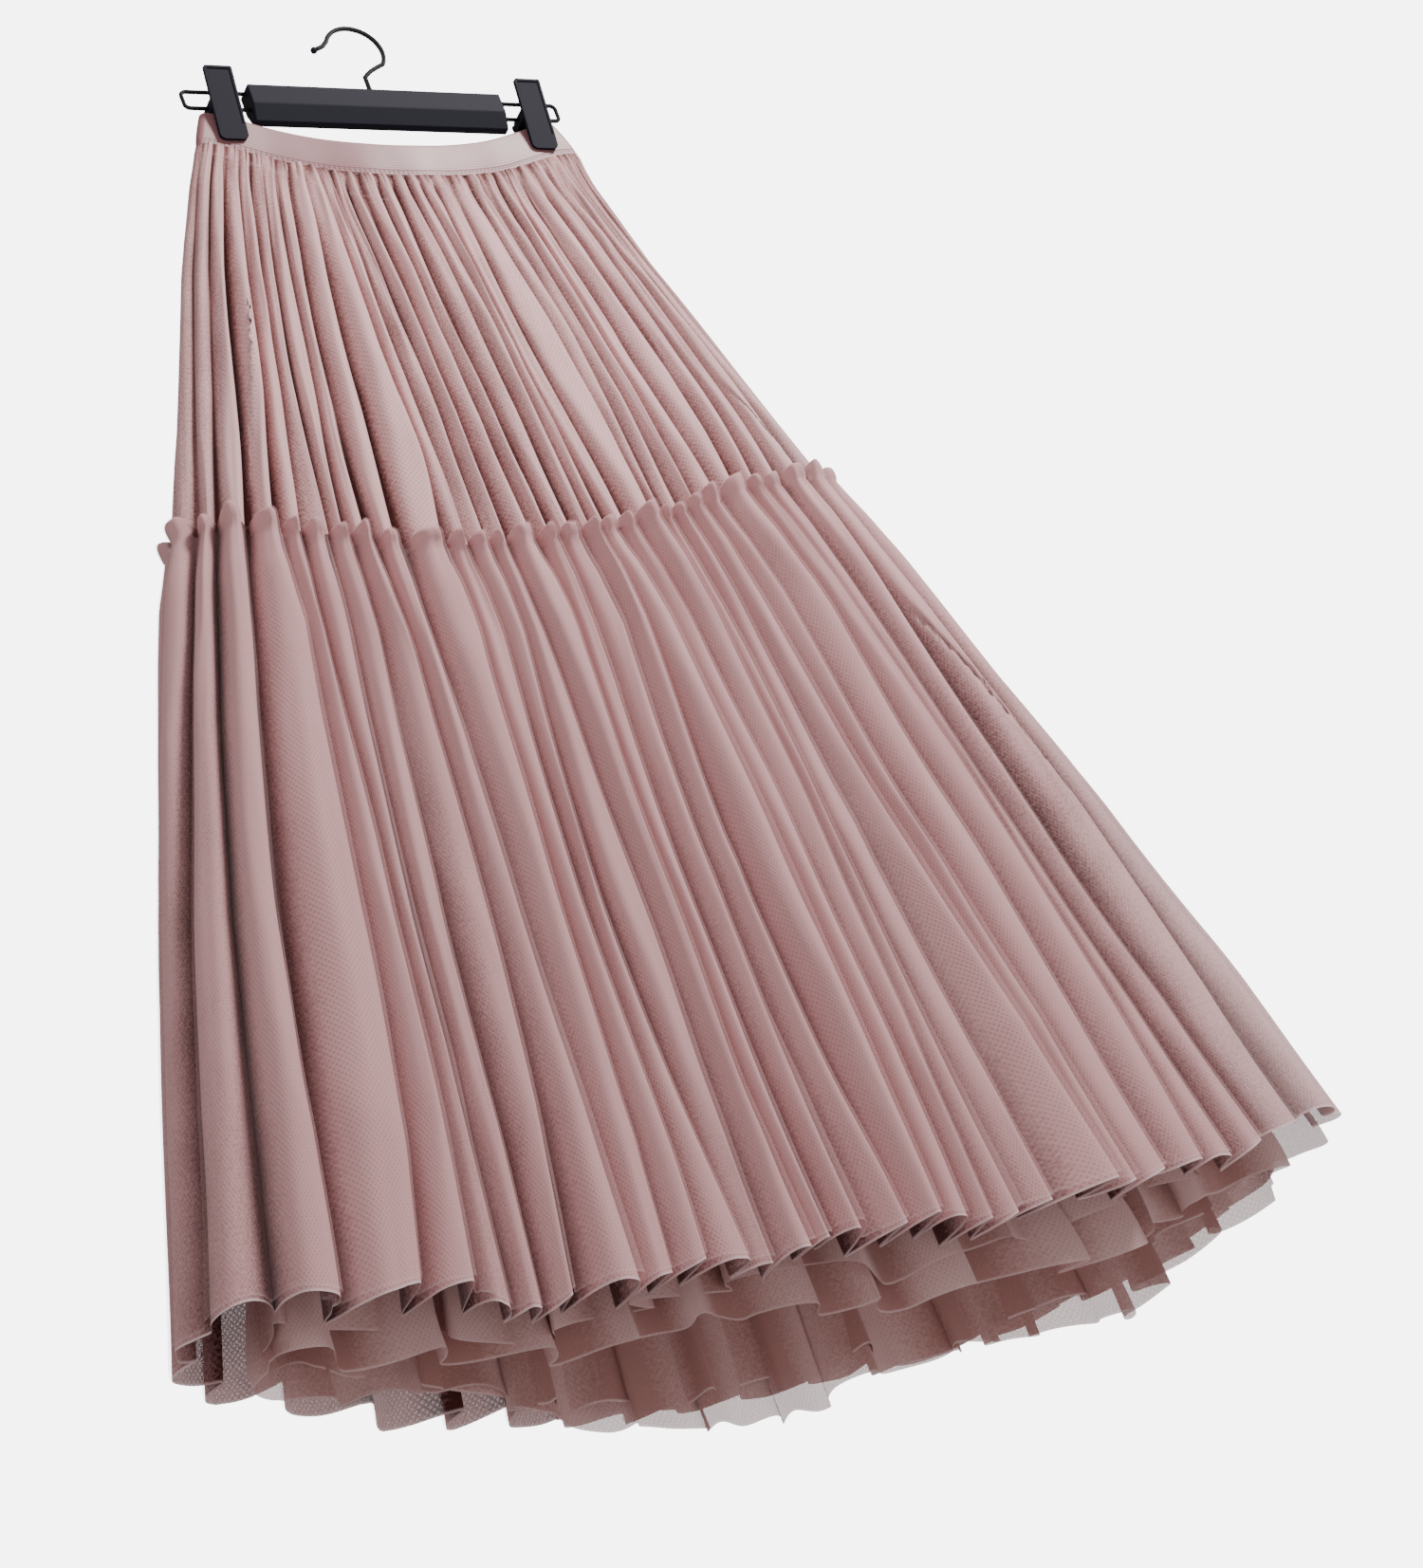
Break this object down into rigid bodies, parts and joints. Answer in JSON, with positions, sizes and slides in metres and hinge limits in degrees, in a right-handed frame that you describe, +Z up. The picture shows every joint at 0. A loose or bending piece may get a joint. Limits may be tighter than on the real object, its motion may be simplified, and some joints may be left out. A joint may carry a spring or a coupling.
{
  "type": "tulle skirt on a clip hanger",
  "caption": "Tiered gathered tulle skirt with an elastic waistband and a net under-layer, hung flat by its waist from a clip hanger with a wire hook.",
  "frame": {"origin": "inside top of the hanger's hook, where it bears on a rail", "axes": "+Z up, the skirt's front faces -Y, +X is to the right seen from the front"},
  "size_m": [0.8178, 0.1803, 1.0402],
  "materials": {
    "upper_tulle": "matt soft net",
    "lower_tulle": "matt soft net",
    "under_tulle": "matt soft net",
    "band": "satin ribbed ribbon elastic",
    "plastic": "satin moulded",
    "black_wire": "gloss black"
  },
  "bodies": {
    "root": {"waistband": "band", "upper_tier": "upper_tulle", "lower_tier": "lower_tulle", "under_layer": "under_tulle", "bar": "plastic", "hook": "black_wire", "hook_tip": "plastic", "rail_left": "black_wire", "rail_right": "black_wire", "clip_left_front": "plastic", "clip_left_back": "plastic", "clip_left_hub": "plastic", "clip_right_front": "plastic", "clip_right_back": "plastic", "clip_right_hub": "plastic"}
  },
  "joints": []
}
